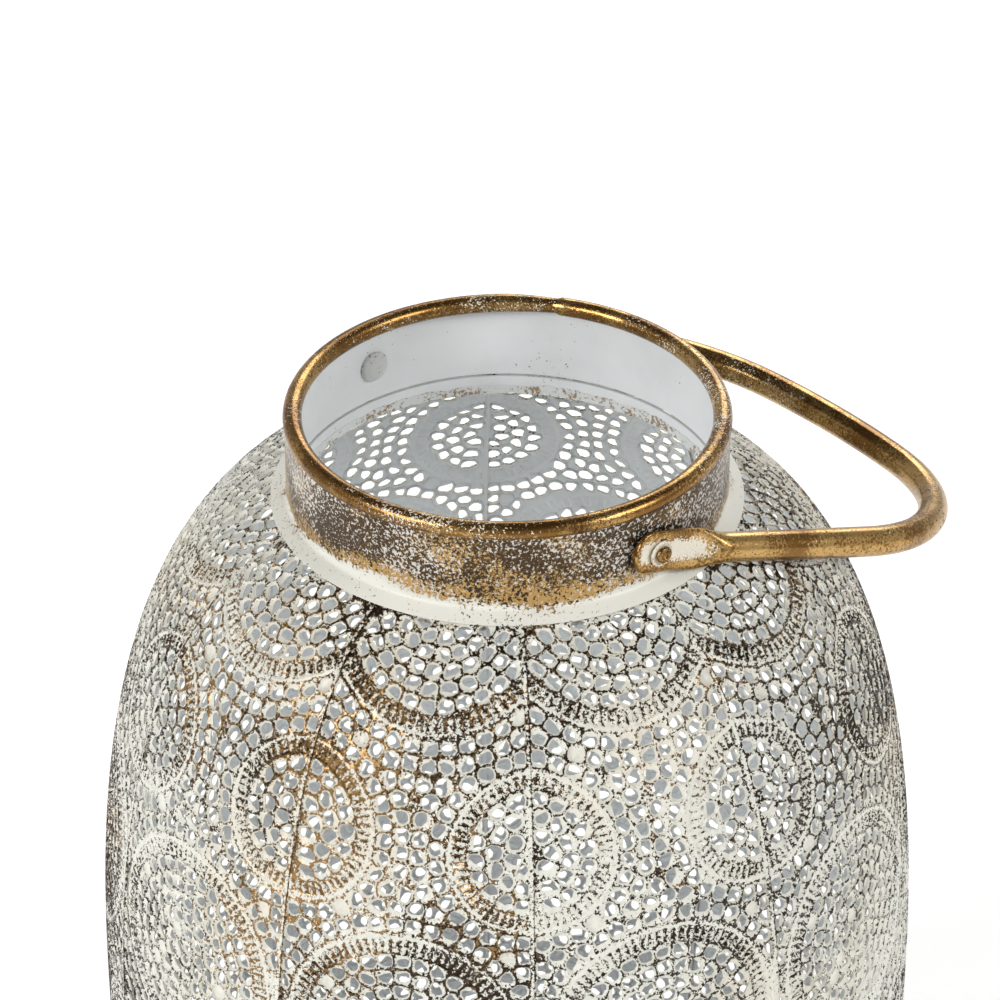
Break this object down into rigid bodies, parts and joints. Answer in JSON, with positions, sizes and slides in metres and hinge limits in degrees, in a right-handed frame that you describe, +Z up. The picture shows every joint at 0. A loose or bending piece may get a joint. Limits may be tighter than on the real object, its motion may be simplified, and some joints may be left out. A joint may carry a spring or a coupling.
{
  "type": "pierced metal lantern",
  "caption": "Barrel-shaped pierced sheet-metal lantern with an open collar, a round wire rim, a tube bail handle and a candle glass inside.",
  "frame": {"origin": "middle of the base plate's underside, on the surface the lantern stands on", "axes": "+Z up along the lantern's axis; the handle's pivot line is parallel to Y; the resting handle lies towards +X"},
  "size_m": [0.2544, 0.241, 0.3718],
  "materials": {
    "pierced_sheet": "cream wash rubbed back to gold and dark brown on the raised pattern",
    "washed_sheet": "cream wash with heavy brown and gold speckle",
    "gilt_wire": "old gold with dark brown and white flecks, satin",
    "inner_paint": "matt light grey paint",
    "glass": "clear, polished"
  },
  "bodies": {
    "lantern": {"body_panel_01": "pierced_sheet", "body_panel_02": "pierced_sheet", "body_panel_03": "pierced_sheet", "body_panel_04": "pierced_sheet", "body_panel_05": "pierced_sheet", "body_panel_06": "pierced_sheet", "body_panel_07": "pierced_sheet", "body_panel_08": "pierced_sheet", "body_panel_09": "pierced_sheet", "body_panel_10": "pierced_sheet", "neck_hoop": "inner_paint", "collar": "washed_sheet", "rim_ring": "gilt_wire", "base_hoop": "inner_paint", "base_plate": "washed_sheet", "rivet_front": "washed_sheet", "rivet_back": "washed_sheet", "washer_front": "washed_sheet", "washer_back": "washed_sheet"},
    "bail": {"handle": "gilt_wire"},
    "glass": {"candle_glass": "glass"}
  },
  "joints": [
    {"name": "handle_swing", "type": "hinge", "parent": "lantern", "child": "bail", "pos_m": [0, 0, 0.35554], "axis": [0, -1, 0], "range_deg": [0, 215.4]},
    {"name": "glass_lift", "type": "slide", "parent": "lantern", "child": "glass", "axis": [0, 0, 1], "range_m": [0, 0.4]}
  ]
}
